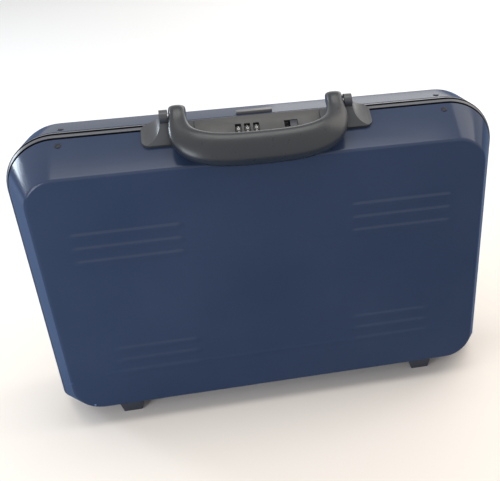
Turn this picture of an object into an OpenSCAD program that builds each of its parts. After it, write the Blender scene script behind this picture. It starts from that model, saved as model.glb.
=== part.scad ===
// Hard attache case for a laptop: two pressed shells on extruded frames, a piano hinge,
// a three-wheel combination lock with a sliding catch, and a folding carry handle.
// X runs along the width, Y from front to back, and Z up. The case stands on its feet at Z = 0.

/* [Shells] */
// Width of the closed case
case_w = 450; // [400:1:520]
// Height of the shells, without the feet
case_h = 300; // [260:1:360]
// Depth of the front half
front_depth = 46; // [42:1:60]
// Depth of the rear half
rear_depth = 50; // [42:1:60]
// Thickness of the sheet metal
shell_t = 1.5; // [1:0.1:2]
// Corner radius at the seam
corner_r = 49; // [42:1:60]
// Angle by which the front half's walls lean in
front_lean = 25; // [22:0.5:27]
// Angle by which the rear half's walls lean in
rear_lean = 8.5; // [4:0.5:11]
// Radius of the crease round the front face
front_edge_r = 4; // [3:0.5:8]
// Radius of the rolled edge round the rear face
rear_edge_r = 18; // [14:0.5:20]

/* [Pressed ribs] */
// Height of the middle of the rib pattern above the bottom of the shells
rib_mid_z = 143; // [135:1:155]
// Distance from that middle to the nearest rib
rib_first = 51; // [40:1:60]
// Distance from one rib to the next
rib_pitch = 14; // [11:0.5:16]
// Ribs in each group
rib_count = 3; // [1:1:3]
// Width of a rib
rib_w = 7; // [5:0.5:9]
// Height of a rib
rib_h = 1.2; // [0.6:0.1:2]
// Length of a lower rib
rib_low_len = 82; // [50:1:95]
// Length of an upper rib
rib_high_len = 100; // [60:1:105]
// Distance from the centre line to the inner end of a rib
rib_inner_x = 75; // [60:1:80]
// Height of the long crease under each pair of groups
crease_h = 0.5; // [0.3:0.1:0.8]
// Width of the long crease as a share of a rib's width
crease_share = 0.7; // [0.5:0.05:0.8]
// Length of the long crease
crease_len = 340; // [260:1:350]

/* [Frames] */
// Gap between the two frames when the case is shut
seam_gap = 1.4; // [0.8:0.1:2]
// Depth of the frame band that shows beside the seam
lip_w = 4.5; // [3.5:0.1:6]
// Depth to which the frame leg reaches into the shell
leg_depth = 20; // [18:0.5:22]
// Thickness of the frame leg
leg_t = 1.6; // [1.2:0.1:2]
// Width of the gasket strip
gasket_w = 1; // [0.8:0.1:1.2]
// Depth of the gasket groove
gasket_groove = 1.5; // [1:0.1:2]
// Distance from the end of a straight wall to a frame rivet
rivet_end = 4; // [4:1:40]
// Distance from the seam to the middle of a rivet
rivet_inset = 14; // [10:0.5:15]
// Radius of a rivet shank
rivet_r = 1.5; // [1:0.1:2]
// Radius of a rivet head
rivet_head_r = 3; // [2.5:0.1:4]

/* [Feet] */
// Height of the feet below the seam edge
foot_h = 6; // [5.5:0.5:10]
// Width of a foot where it meets the shell
foot_w = 21.5; // [19:0.5:26]
// Width of a foot at the floor
foot_end_w = 18.5; // [12:0.5:19]
// Depth of a foot from front to back
foot_depth = 12; // [8:0.5:13]
// Distance from the end of a straight wall to a foot
foot_end = 21; // [11:1:50]
// Distance from the seam to the near side of a foot
foot_inset = 15.5; // [15:0.5:16]

/* [Hinge] */
// Length of the piano hinge
hinge_len = 264; // [200:1:280]
// Number of knuckles
knuckle_count = 11; // [7:2:15]
// Radius of a knuckle
knuckle_r = 2.4; // [2.2:0.1:2.5]
// Radius of the hinge pin
hinge_pin_r = 1.2; // [0.9:0.1:1.3]
// Thickness of a hinge leaf
leaf_t = 1; // [0.8:0.1:1.2]
// Width of a hinge leaf
leaf_w = 10; // [7:0.5:11]

/* [Lid stays] */
// Height of the stay pivots above the hinge
stay_rise = 60; // [50:1:75]
// Distance from the seam to the stay pivots
stay_inset = 13; // [11:0.5:13.5]
// Distance from the side of the case to the lower arms
stay_side = 15.5; // [15:0.5:20]
// Width of a stay arm
stay_w = 9; // [7:0.5:10]
// Thickness of a stay arm
stay_t = 1.2; // [1:0.1:1.6]
// Radius of the stay pins
stay_pin_r = 2; // [1.5:0.1:2.4]

/* [Handle] */
// Half the distance between the middles of the two handle arms
handle_x = 69; // [64:0.5:74]
// Distance from the pivots to the middle of the grip
handle_reach = 44.4; // [40:0.2:46]
// Width of a handle arm
arm_w = 15.4; // [13:0.2:17]
// Width of the grip
grip_w = 29; // [24:0.5:30]
// Thickness of the handle
handle_t = 16; // [13:0.5:16.5]
// Angle of the folded handle below the level
handle_drop = 25; // [20:1:26]
// Angle of the grip against the arms
grip_tilt = 32; // [10:1:35]
// Roundness of the handle's bends, where 2 is an ellipse
bend_power = 3.2; // [2.6:0.1:4]
// Radius of the round end of an arm
eye_r = 9.5; // [8.5:0.1:10.5]
// Radius of a handle pin
handle_pin_r = 2.5; // [2:0.1:3.5]
// Height of the handle pivots above the lock plate's seat
pivot_n = 15.9; // [15:0.1:17]
// Distance from the seam to the handle pivots, along the top wall
pivot_s = 6.2; // [6.2:0.1:8]
// Thickness of a bracket post
post_w = 7; // [5:0.5:9]
// Height of a bracket post's rounded top above its pivot
post_top_r = 6; // [5.5:0.1:6.2]
// Distance from the centre line to the outer end of a bracket
bracket_end_x = 102; // [98:0.5:110]
// Thickness of a bracket's pad at its outer end
pad_t = 2.8; // [2:0.1:4]
// Radius of the corners of a bracket's pad
pad_r = 7; // [4:0.5:10]

/* [Lock] */
// Half length of the lock plate between the brackets
plate_x = 56; // [54:0.5:57]
// Thickness of the lock plate
plate_t = 2.4; // [2:0.1:3]
// Distance from the seam to the lock plate
plate_near = 1; // [0.8:0.1:2]
// Distance from the seam to the far side of the lock plate
plate_far = 26.5; // [25.5:0.5:28]
// Radius of a number wheel over its corners
wheel_r = 6.6; // [6:0.1:6.6]
// Width of a number wheel
wheel_w = 4.6; // [4:0.1:5]
// Distance from one number wheel to the next
wheel_pitch = 8; // [7.5:0.1:9]
// Sideways position of the middle wheel
wheel_mid_x = -10; // [-14:0.5:-8]
// How far the wheels stand above the lock plate
wheel_proud = 1.5; // [0.5:0.1:2]
// Faces on a number wheel, one for each figure
wheel_faces = 10; // [8:1:12]
// Radius of the wheel axle
axle_r = 1.8; // [1.4:0.1:2.2]
// Travel of the opening button
button_travel = 5; // [4:0.1:5.5]
// Length of the opening button
button_len = 6.4; // [6:0.1:7]
// Width of the opening button
button_w = 7; // [5:0.1:8]
// Distance from the seam to the middle of the wheels, along the top wall
wheel_s = 17; // [16.5:0.1:17.5]
// Distance from the seam to the middle of the opening button
button_s = 14.7; // [14:0.1:15]
// Sideways position of the middle of the opening button when the case is unlocked
button_x = 31.5; // [31:0.1:33]
// Radius of the latch bolt
bolt_r = 2; // [1.6:0.1:2.4]
// Travel of the code lever
lever_travel = 3; // [2:0.1:4]
// Depth of the lock housing below the top wall
housing_h = 16; // [15.5:0.1:17]
// Width of the hasp tab on the rear half
tab_w = 33; // [26:0.5:36]
// Height of the hasp tab
tab_h = 2.8; // [2:0.1:4]

/* [Inside] */
// Thickness of the lining board
lining_t = 1.3; // [1:0.1:2]
// Width of the laptop cushion
cushion_w = 340; // [300:1:360]
// Height of the laptop cushion
cushion_h = 216; // [190:1:220]
// Thickness of the laptop cushion
cushion_t = 11; // [8:0.5:14]
// Height of the cushion's raised corners
cushion_wall = 8; // [5:0.5:10]
// Width of the laptop strap
strap_w = 25; // [20:1:30]
// Width of the document organiser
organiser_w = 350; // [300:1:360]
// Height of the document organiser
organiser_h = 216; // [190:1:220]
// Depth of one organiser pocket
pocket_t = 4; // [3:0.5:6]

/* [Hidden] */
$fn = 48;

// Clearances: pieces that seat in one body, a turning pin in its bore, moving pieces side by side
seat_gap = 0.2;
running_gap = 0.05;
side_gap = 0.3;
// How far a cutter runs past the face that it opens
cut = 1;

// The thickness of a frame beside the seam, and the lining just inside it
frame_t = shell_t + seat_gap + leg_t;
rivet_x = case_w / 2 - corner_r - rivet_end;
foot_x = case_w / 2 - corner_r - foot_end;
lining_offset = frame_t + side_gap;
lining_inside = lining_offset + lining_t;
shell_start = lip_w + seat_gap / 2;
arc_steps = 9;
least_bend = 0.5;

// The handle's sections: an arm's half width and the grip's, and the rings of points along it
handle_half_t = handle_t / 2;
handle_steps = 20;
ring_points = 16;
section_power = 0.75;

// Each half as its depth, the lean of its walls and the radius of its edge
front = [front_depth, front_lean, front_edge_r];
rear = [rear_depth, rear_lean, rear_edge_r];

// Where the case stands: its seam plane, its lower edge and its top edge
pivot_y = -(pivot_s * cos(front_lean) + pivot_n * sin(front_lean));
pivot_z = foot_h + case_h + pivot_n * cos(front_lean) - pivot_s * sin(front_lean);
front_reach = max(front_depth + rib_h, handle_front_reach());
rear_reach = rear_depth + rib_h;
seam_y = (front_reach - rear_reach) / 2;
mid_z = foot_h + case_h / 2;
top_z = foot_h + case_h;

// The hinge axis lies under the frames, in the seam plane
hinge_z = foot_h - knuckle_r - 0.4;
leaf_start = knuckle_r + 0.6;
knuckle_len = hinge_len / knuckle_count;

// The lock's inside, measured down from the top wall
housing_wall = 1;
wheel_n = plate_t + wheel_proud - wheel_r;
window_half = wheel_r + 0.2;
housing_near = wheel_s - wheel_r - 3 * side_gap - housing_wall;
housing_far = wheel_s + wheel_r + 3 * side_gap + housing_wall;
housing_left = wheel_mid_x - 1.5 * wheel_pitch - 4;
housing_right = 42;
hook_x = 12;
hook_t = 2;
hook_top = 9;
hook_bottom = 16.2;
bolt_drop = 12.6;
bolt_back = 11;
bolt_tip_x = hook_x + hook_t + 0.6;
tab_x = -1.5;
tab_near = 7.5;
tab_depth = 8.5;

// The stays
stay_lower_x = case_w / 2 - stay_side;
stay_upper_x = stay_lower_x - stay_t - side_gap;

// Small sizes of the fittings
handle_side_gap = 0.6;
stay_boss_r = stay_w / 2 + 0.5;
strap_t = 1.6;
buckle_t = 4;
cushion_r = 22;
cushion_rim = 16;
cushion_back = front_depth - lining_inside - side_gap;
cushion_top = cushion_back - cushion_t;
strap_top = cushion_top - side_gap - strap_t;
panel_t = 2;
panel_top = rear_depth - lining_inside - side_gap - panel_t;
pocket_top = panel_top - seat_gap - pocket_t;
detent_t = 0.4;
axle_wall_x = wheel_mid_x + 1.5 * wheel_pitch + side_gap;
guide_x = hook_x + hook_t + 5;
hook_slack = 0.8;
hook_reach = 15;
hook_far = 17.5;
hook_plate_half = 15;
hook_plate_t = 1.8;
hasp_stud_x = [-10, 6];
hasp_stud_s = tab_near + tab_depth / 2;
bolt_s = bolt_back * cos(front_lean) + bolt_drop * sin(front_lean);
bolt_n = bolt_back * sin(front_lean) - bolt_drop * cos(front_lean);
lever_x = wheel_mid_x - wheel_pitch / 2;
lever_w = 2.4;
lever_top = wheel_n - wheel_r - 2 * side_gap - detent_t;

// ---- Points and profiles ----

// A point on a half's leaning wall: depth from the seam, and distance in from the outer face
function wall_point(half, depth, inset) = [depth * tan(half[1]) + inset / cos(half[1]), depth];

// The line from the open edge over the rolled edge to the flat face
function pan_line(half, inset, start) =
    let (
        lean = half[1],
        r = max(half[2] - inset, least_bend),
        middle = wall_point(half, half[0] - inset - r, inset + r)
    )
    concat(
        [wall_point(half, start, inset)],
        [for (i = [0 : arc_steps]) let (a = 180 - lean - i * (90 - lean) / arc_steps)
            middle + r * [cos(a), sin(a)]]
    );

function reverse(list) = [for (i = [len(list) - 1 : -1 : 0]) list[i]];

function smooth(t) = t * t * (3 - 2 * t);

// A power that keeps the sign of its base
function signed_power(base, power) = sign(base) * pow(abs(base), power);

// One side of the handle's middle line, from the right pivot over the grip to the left one
function handle_angle(i) =
    i <= handle_steps ? 90 * pow(i / handle_steps, 2) : 180 - handle_angle(2 * handle_steps - i);
function handle_line(a) = [
    handle_x * signed_power(cos(a), 2 / bend_power),
    handle_reach * pow(sin(a), 2 / bend_power)
];
function handle_ring(i) =
    let (
        a = handle_angle(i),
        spot = handle_line(a),
        ahead = handle_line(min(a + 0.02, 180)) - handle_line(max(a - 0.02, 0)),
        out = [ahead.y, -ahead.x] / norm(ahead),
        share = smooth(min(spot.y / handle_reach, 1)),
        half_w = arm_w / 2 + (grip_w - arm_w) / 2 * share,
        tilt = -grip_tilt * share
    )
    [for (k = [0 : ring_points - 1])
        let (
            turn = k * 360 / ring_points,
            wide = half_w * signed_power(cos(turn), section_power),
            thick = handle_half_t * signed_power(sin(turn), section_power),
            across = wide * cos(tilt) - thick * sin(tilt),
            up = wide * sin(tilt) + thick * cos(tilt)
        )
        [spot.x + out.x * across, -spot.y - out.y * across, up]];

function handle_front_reach() =
    max([for (i = [0 : 2 * handle_steps], p = handle_ring(i))
        -pivot_y - p.y * cos(handle_drop) + p.z * sin(handle_drop)]);

// ---- Placing ----

// Both halves are drawn face up: X along the width, Y up the case, and Z out from the seam
module front_half() {
    translate([0, seam_y, mid_z]) rotate([90, 0, 0]) children();
}

module rear_half() {
    translate([0, seam_y, mid_z]) mirror([0, 1, 0]) rotate([90, 0, 0]) children();
}

// On the top wall of a half: X along it, Y towards the seam, and Z out of it
module on_top_wall(half) {
    translate([0, case_h / 2, 0]) rotate([half[1] - 90, 0, 0]) children();
}

// The same on the top and the bottom wall
module on_both_walls(half) {
    on_top_wall(half) children();
    mirror([0, 1, 0]) on_top_wall(half) children();
}

// On the front half's top wall
module on_deck() {
    front_half() on_top_wall(front) children();
}

module both_sides(offset) {
    for (side = [-1, 1]) translate([side * offset, 0, 0]) children();
}

module left_and_right() {
    children();
    mirror([1, 0, 0]) children();
}

// A block given by its low and high corners
module block(low, high) {
    translate(low) cube(high - low);
}

// A cylinder along X from one place to another
module rod_x(from_x, to_x, r) {
    translate([from_x, 0, 0]) rotate([0, 90, 0]) cylinder(h = to_x - from_x, r = r);
}

// ---- Swept forms ----

// A line of points turned about the four corners and run along the four sides
module ring_solid(profile) {
    mid_w = case_w - 2 * corner_r;
    mid_h = case_h - 2 * corner_r;
    side = [for (p = profile) [corner_r - p.x, p.y]];
    left_and_right() {
        translate([mid_w / 2, mid_h / 2, 0]) rotate([90, 0, 0]) linear_extrude(mid_h) polygon(side);
        for (y = [0, 1]) mirror([0, y, 0]) translate([mid_w / 2, mid_h / 2, 0])
            rotate_extrude(angle = 90) polygon(side);
    }
    for (y = [0, 1]) mirror([0, y, 0]) translate([-mid_w / 2, mid_h / 2, 0])
        rotate([90, 0, 90]) linear_extrude(mid_w) polygon(side);
}

// The solid inside a half's outline: flat face, rolled edge and leaning walls round four corners
module pan_solid(half, inset, start) {
    line = pan_line(half, inset, start);
    depth = half[0];
    mid_w = case_w - 2 * corner_r;
    ring_solid(concat([[corner_r, start]], line, [[corner_r, depth - inset]]));
    translate([-mid_w / 2, 0, 0]) rotate([90, 0, 90]) linear_extrude(mid_w)
        polygon([
            [corner_r - case_h / 2, start],
            [case_h / 2 - corner_r, start],
            [case_h / 2 - corner_r, depth - inset],
            [corner_r - case_h / 2, depth - inset]
        ]);
}

// A round bar along X with ball ends
module capsule(length, r) {
    half = length / 2;
    end = [for (i = [0 : arc_steps]) [r * sin(i * 90 / arc_steps), half + r * cos(i * 90 / arc_steps)]];
    rotate([0, 90, 0]) rotate_extrude() polygon(concat(end, reverse([for (p = end) [p.x, -p.y]])));
}

// A rib of the given width and height over the face, or the groove behind it
module bead(length, width, height, inset) {
    r = (width * width / 4 + height * height) / (2 * height);
    translate([0, 0, height - r]) capsule(length - width, r - inset);
}

// The whole rib pattern on a face at the given depth
module ribs(depth, inset) {
    mid = rib_mid_z - case_h / 2;
    translate([0, mid, depth]) {
        left_and_right() for (i = [0 : rib_count - 1]) {
            translate([rib_inner_x + rib_high_len / 2, rib_first + i * rib_pitch, 0])
                bead(rib_high_len, rib_w, rib_h, inset);
            translate([rib_inner_x + rib_low_len / 2, -rib_first - i * rib_pitch, 0])
                bead(rib_low_len, rib_w, rib_h, inset);
        }
        for (y = [rib_first, -rib_first - (rib_count - 1) * rib_pitch])
            translate([0, y, 0]) bead(crease_len, crease_share * rib_w, crease_h, inset);
    }
}

// A block with rounded corners between two depths
module rounded_block(size, r, low, high) {
    translate([0, 0, low]) linear_extrude(high - low) {
        square([size.x - 2 * r, size.y], center = true);
        square([size.x, size.y - 2 * r], center = true);
        for (x = [-1, 1], y = [-1, 1]) translate([x * (size.x / 2 - r), y * (size.y / 2 - r)]) circle(r);
    }
}

// A closed skin over rings that each have as many points
module skin(rings) {
    count = len(rings);
    size = len(rings[0]);
    polyhedron(
        points = [for (ring = rings, p = ring) p],
        faces = concat(
            [[for (k = [0 : size - 1]) k]],
            [for (i = [0 : count - 2], k = [0 : size - 1])
                let (a = i * size + k, b = i * size + (k + 1) % size)
                each [[a, a + size, b], [b, a + size, b + size]]],
            [[for (k = [size - 1 : -1 : 0]) (count - 1) * size + k]]
        )
    );
}

// ---- Shells and frames ----

module rivet_holes(half) {
    on_both_walls(half) both_sides(rivet_x) translate([0, -rivet_inset, -frame_t - cut])
        cylinder(h = frame_t + 2 * cut, r = rivet_r + running_gap);
}

module rivet_set(half) {
    on_both_walls(half) both_sides(rivet_x) translate([0, -rivet_inset, 0]) {
        cylinder(h = rivet_r / 2, r1 = rivet_head_r, r2 = rivet_head_r * 0.75);
        translate([0, 0, -frame_t]) cylinder(h = frame_t, r = rivet_r);
    }
}

module shell(half) {
    depth = half[0];
    difference() {
        union() {
            pan_solid(half, 0, shell_start);
            intersection() {
                ribs(depth, 0);
                block(
                    [-case_w / 2, -case_h / 2, depth - shell_t / 2],
                    [case_w / 2, case_h / 2, depth + 2 * rib_h]
                );
            }
        }
        pan_solid(half, shell_t, shell_start - cut);
        ribs(depth, shell_t);
        rivet_holes(half);
    }
}

// Where the lock housing goes through the top wall, from the given distance off the seam
module housing_cutter(near) {
    on_top_wall(front) block(
        [housing_left - side_gap, -housing_far - side_gap, -housing_h],
        [housing_right + side_gap, -near, cut]
    );
}

module hasp_stud_holes() {
    on_top_wall(rear) for (x = hasp_stud_x) translate([x, -hasp_stud_s, -frame_t - cut])
        cylinder(h = frame_t + 2 * cut, r = rivet_r + running_gap);
}

module front_shell() {
    color("midnightblue") front_half() difference() {
        shell(front);
        housing_cutter(0);
    }
}

module rear_shell() {
    color("midnightblue") rear_half() difference() {
        shell(rear);
        hasp_stud_holes();
    }
}

// A lip beside the seam, and a leg that lies inside the shell
module frame(half) {
    difference() {
        ring_solid([
            wall_point(half, seam_gap / 2, 0),
            wall_point(half, lip_w, 0),
            wall_point(half, lip_w, shell_t + seat_gap),
            wall_point(half, leg_depth, shell_t + seat_gap),
            wall_point(half, leg_depth, frame_t),
            wall_point(half, seam_gap / 2, frame_t)
        ]);
        rivet_holes(half);
    }
}

module front_frame() {
    color("dimgray") front_half() difference() {
        frame(front);
        ring_solid(gasket_profile(running_gap, seam_gap / 2 - cut));
        housing_cutter(housing_near - seat_gap);
    }
}

module rear_frame() {
    color("dimgray") rear_half() difference() {
        frame(rear);
        hasp_stud_holes();
    }
}

// The seal's section, in the middle of the frame at the bottom of its groove
function gasket_profile(slack, face) =
    let (
        floor_depth = seam_gap / 2 + gasket_groove + slack,
        middle = (wall_point(front, floor_depth, 0).x + wall_point(front, 0, frame_t).x) / 2,
        half_w = gasket_w / 2 + slack
    )
    [
        [middle - half_w, face],
        [middle + half_w, face],
        [middle + half_w, floor_depth],
        [middle - half_w, floor_depth]
    ];

module frame_gasket() {
    color("black") front_half() ring_solid(gasket_profile(0, 0));
}

module front_rivets() {
    color("black") front_half() rivet_set(front);
}

module rear_rivets() {
    color("black") rear_half() rivet_set(rear);
}

// A pair of feet that taper to the floor and seat on the leaning bottom wall
module feet(half) {
    deep = foot_h + wall_point(half, foot_inset + foot_depth, 0).x + cut;
    slope = (foot_w - foot_end_w) / 2 / foot_h;
    difference() {
        both_sides(foot_x) translate([0, -mid_z, foot_inset]) linear_extrude(foot_depth)
            polygon([
                [-foot_end_w / 2, 0],
                [foot_end_w / 2, 0],
                [foot_end_w / 2 + slope * deep, deep],
                [-foot_end_w / 2 - slope * deep, deep]
            ]);
        pan_solid(half, 0, 0);
    }
}

module front_feet() {
    color("darkslategray") front_half() feet(front);
}

module rear_feet() {
    color("darkslategray") rear_half() feet(rear);
}

// ---- Hinge ----

// One leaf: a strip on the bottom wall and every second knuckle
module hinge_leaf(half, first) {
    low = foot_h - mid_z - leaf_t - seat_gap;
    step = leaf_start - leaf_t;
    top = foot_h - mid_z + wall_point(half, step, 0).x - seat_gap / 2;
    difference() {
        union() {
            mirror([0, 1, 0]) on_top_wall(half)
                block([-hinge_len / 2, -leaf_start - leaf_w, 0], [hinge_len / 2, -leaf_start, leaf_t]);
            for (i = [first : 2 : knuckle_count - 1]) {
                from_x = i * knuckle_len - hinge_len / 2 + side_gap / 2;
                to_x = from_x + knuckle_len - side_gap;
                translate([0, hinge_z - mid_z, 0]) rod_x(from_x, to_x, knuckle_r);
                block([from_x, low, knuckle_r / 2], [to_x, low + leaf_t, leaf_start + leaf_t / 2]);
                block([from_x, low, step], [to_x, top, leaf_start + leaf_t / 2]);
            }
        }
        translate([0, hinge_z - mid_z, 0])
            rod_x(-hinge_len / 2 - cut, hinge_len / 2 + cut, hinge_pin_r + running_gap);
    }
}

module hinge_leaf_front() {
    color("dimgray") front_half() hinge_leaf(front, 0);
}

module hinge_leaf_rear() {
    color("dimgray") rear_half() hinge_leaf(rear, 1);
}

module hinge_pin() {
    color("silver") translate([0, seam_y, hinge_z])
        rod_x(-hinge_len / 2, hinge_len / 2, hinge_pin_r);
}

// ---- Stays ----

// A pivot on the front half, on the rear half or at the elbow, as Y and Z
function stay_pivot(side) = [seam_y + side * stay_inset, hinge_z + stay_rise];
stay_elbow = [seam_y, hinge_z + 2 * stay_rise];

module at_pivot(spot) {
    translate([0, spot.x, spot.y]) children();
}

// A flat bar with round ends and a hole at its start
module stay_bar(start, end, x) {
    reach = end - start;
    difference() {
        at_pivot(start) rotate([atan2(reach.y, reach.x), 0, 0]) {
            rod_x(x, x + stay_t, stay_w / 2);
            translate([0, norm(reach), 0]) rod_x(x, x + stay_t, stay_w / 2);
            block([x, 0, -stay_w / 2], [x + stay_t, norm(reach), stay_w / 2]);
        }
        at_pivot(start) rod_x(x - cut, x + stay_t + cut, stay_pin_r + running_gap);
    }
}

// The lower arm carries the elbow's pin
module stay_arm_lower() {
    stay_bar(stay_pivot(-1), stay_elbow, stay_lower_x);
    at_pivot(stay_elbow) rod_x(stay_upper_x - side_gap, stay_lower_x, stay_pin_r);
}

// The upper arm turns loosely on it
module stay_arm_upper() {
    difference() {
        stay_bar(stay_pivot(1), stay_elbow, stay_upper_x);
        at_pivot(stay_elbow) rod_x(stay_upper_x - cut, stay_upper_x + stay_t + cut, stay_pin_r + side_gap);
    }
}

module stay_arm_lower_left() {
    color("silver") mirror([1, 0, 0]) stay_arm_lower();
}

module stay_arm_lower_right() {
    color("silver") stay_arm_lower();
}

module stay_arm_upper_left() {
    color("silver") mirror([1, 0, 0]) stay_arm_upper();
}

module stay_arm_upper_right() {
    color("silver") stay_arm_upper();
}

// A boss against the frame leg, with the pin for the arm that starts at the given place
module stay_bracket(spot, arm_x) {
    at_pivot(spot) rod_x(arm_x + stay_t + side_gap, case_w / 2, stay_boss_r);
    at_pivot(spot) rod_x(arm_x - side_gap, arm_x + stay_t + 2 * side_gap, stay_pin_r);
}

module stay_brackets_front() {
    color("silver") intersection() {
        left_and_right() stay_bracket(stay_pivot(-1), stay_lower_x);
        front_half() pan_solid(front, frame_t + seat_gap / 2, seam_gap);
    }
}

module stay_brackets_rear() {
    color("silver") intersection() {
        left_and_right() stay_bracket(stay_pivot(1), stay_upper_x);
        rear_half() pan_solid(rear, frame_t + seat_gap / 2, seam_gap);
    }
}

// ---- Linings and fittings ----

// A tray inside a half, open for the stays' bosses
module lining(half) {
    difference() {
        pan_solid(half, lining_offset, seam_gap);
        pan_solid(half, lining_inside, seam_gap - cut);
        translate([0, hinge_z + stay_rise - mid_z, stay_inset])
            rod_x(-case_w / 2, case_w / 2, stay_boss_r + side_gap);
    }
}

module front_lining() {
    color("slategray") front_half() difference() {
        lining(front);
        housing_cutter(0);
    }
}

module rear_lining() {
    color("slategray") rear_half() difference() {
        lining(rear);
        on_top_wall(rear) block(
            [-hook_plate_half - side_gap, -hook_far - side_gap, -case_h / 8],
            [hook_plate_half + side_gap, 0, 0]
        );
    }
}

// A foam bed with four raised corners
module laptop_cushion() {
    size = [cushion_w, cushion_h];
    color("dimgray") front_half() {
        rounded_block(size, cushion_r, cushion_top, cushion_back);
        difference() {
            rounded_block(size, cushion_r, cushion_top - cushion_wall, cushion_top + cut);
            rounded_block(size - [2, 2] * cushion_rim, cushion_r - cushion_rim / 2, 0, cushion_back);
            cube([cushion_w - 4 * cushion_r, case_h, 2 * cushion_back], center = true);
            cube([case_w, cushion_h - 4 * cushion_r, 2 * cushion_back], center = true);
        }
    }
}

module laptop_strap() {
    end_x = cushion_w / 2 + side_gap;
    color("black") front_half() difference() {
        block(
            [-end_x - strap_t, -strap_w / 2, strap_top],
            [end_x + strap_t, strap_w / 2, cushion_back]
        );
        block([-end_x, -strap_w, strap_top + strap_t], [end_x, strap_w, cushion_back + cut]);
    }
}

// A buckle with a bar between two slots, on top of the strap
module strap_buckle() {
    half = [strap_w * 0.8, strap_w * 0.7];
    low = strap_top - side_gap - buckle_t;
    color("black") front_half() difference() {
        rounded_block(2 * half, buckle_t, low, low + buckle_t);
        both_sides(strap_w * 0.42)
            cube([strap_w * 0.3, strap_w, 4 * front_depth], center = true);
    }
}

module organiser_panel() {
    color("slategray") rear_half()
        rounded_block([organiser_w, organiser_h], cushion_r, panel_top, panel_top + panel_t);
}

// Two overlapping pockets, the lower one in front, split in the middle
module organiser_pockets() {
    low_edge = -organiser_h / 2 + cushion_rim / 2;
    wide = organiser_w - cushion_rim;
    color("dimgray") rear_half() {
        translate([0, low_edge + organiser_h / 3, 0])
            rounded_block([wide, organiser_h * 2 / 3], cushion_rim, pocket_top, panel_top - seat_gap);
        both_sides(organiser_w / 4 - 1) translate([0, low_edge + organiser_h / 4, 0])
            rounded_block(
                [wide / 2 - cushion_rim, organiser_h / 2 - cushion_rim],
                cushion_rim,
                pocket_top - pocket_t,
                pocket_top
            );
    }
}

// ---- Lock ----

module at_wheels() {
    translate([0, -wheel_s, wheel_n]) children();
}

function wheel_x(i) = wheel_mid_x + (i - 1) * wheel_pitch;

// The plate between the brackets, with windows for the wheels and the button
module lock_plate() {
    window_w = wheel_w / 2 + side_gap;
    color("gray") on_deck() difference() {
        block([-plate_x, -plate_far, 0], [plate_x, -plate_near, plate_t]);
        for (i = [0 : 2]) block(
            [wheel_x(i) - window_w, -wheel_s - window_half, -cut],
            [wheel_x(i) + window_w, -wheel_s + window_half, plate_t + cut]
        );
        block(
            [button_x - button_len / 2 - button_travel - side_gap, -button_s - button_w / 2 - side_gap, -cut],
            [button_x + button_len / 2 + side_gap, -button_s + button_w / 2 + side_gap, plate_t + cut]
        );
    }
}

// A box under the plate, with walls that carry the axle and guide the bolt
module lock_housing() {
    inner_far = -housing_far + housing_wall;
    inner_near = -housing_near - housing_wall;
    floor_n = -housing_h + housing_wall;
    bolt_wall_x = guide_x + 2 * housing_wall;
    slot_half = lever_w / 2 + side_gap;
    color("silver") on_deck() difference() {
        block([housing_left, -housing_far, -housing_h], [housing_right, -housing_near, 0]);
        block([housing_left + housing_wall, inner_far, floor_n], [axle_wall_x, inner_near, cut]);
        block([axle_wall_x + housing_wall, inner_far, floor_n], [guide_x, inner_near, cut]);
        block([bolt_wall_x, inner_far, floor_n], [housing_right - housing_wall, inner_near, cut]);
        at_wheels() rod_x(housing_left - cut, axle_wall_x + housing_wall + cut, axle_r + running_gap);
        at_bolt() rod_x(guide_x - cut, bolt_wall_x + cut, bolt_r + running_gap);
        block(
            [hook_x - hook_slack, inner_near - cut, floor_n],
            [hook_x + hook_t + hook_slack, cut, -hook_slack]
        );
        block(
            [lever_x - slot_half, -wheel_s - slot_half, -housing_h - cut],
            [lever_x + slot_half + lever_travel, -wheel_s + slot_half, floor_n + cut]
        );
    }
}

module wheel_axle() {
    color("silver") on_deck() at_wheels()
        rod_x(housing_left, axle_wall_x + housing_wall, axle_r);
}

// A ten-sided wheel with a hub that keeps it off its neighbour
module number_wheel(i) {
    hub = wheel_pitch - side_gap;
    hub_r = min(axle_r * 1.7, -wheel_n - side_gap);
    color("black") on_deck() at_wheels() translate([wheel_x(i), 0, 0]) difference() {
        union() {
            rotate([90 + 180 / wheel_faces, 0, 0]) rotate([0, 90, 0])
                cylinder(h = wheel_w, r = wheel_r, center = true, $fn = wheel_faces);
            rod_x(-hub / 2, hub / 2, hub_r);
        }
        rod_x(-wheel_pitch, wheel_pitch, axle_r + running_gap);
    }
}

module number_wheel_1() {
    number_wheel(0);
}

module number_wheel_2() {
    number_wheel(1);
}

module number_wheel_3() {
    number_wheel(2);
}

// A leaf spring with one finger under each wheel
module wheel_detent() {
    top_n = wheel_n - wheel_r - side_gap;
    color("silver") on_deck() difference() {
        block(
            [housing_left + housing_wall + seat_gap, -wheel_s - wheel_r, top_n - detent_t],
            [axle_wall_x - seat_gap, -wheel_s + wheel_r / 2, top_n]
        );
        for (i = [0, 1]) block(
            [wheel_x(i) + wheel_pitch / 2 - hook_slack, -wheel_s - wheel_r / 2, -housing_h],
            [wheel_x(i) + wheel_pitch / 2 + hook_slack, 0, 0]
        );
    }
}

module at_bolt() {
    translate([0, -bolt_s, bolt_n]) children();
}

// The slider in its window, with a stem that draws the bolt
module open_button() {
    half = button_len / 2;
    color("darkslateblue") on_deck() difference() {
        union() {
            block(
                [button_x - half, -button_s - button_w / 2, -cut],
                [button_x + half, -button_s + button_w / 2, plate_t - cut / 2]
            );
            block(
                [button_x - half, -bolt_s - 2 * bolt_r, bolt_n - 2 * bolt_r],
                [button_x + half, -bolt_s + 2 * bolt_r, 0]
            );
        }
        at_bolt() rod_x(button_x - half - cut, button_x + seat_gap, bolt_r + running_gap);
    }
}

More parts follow.
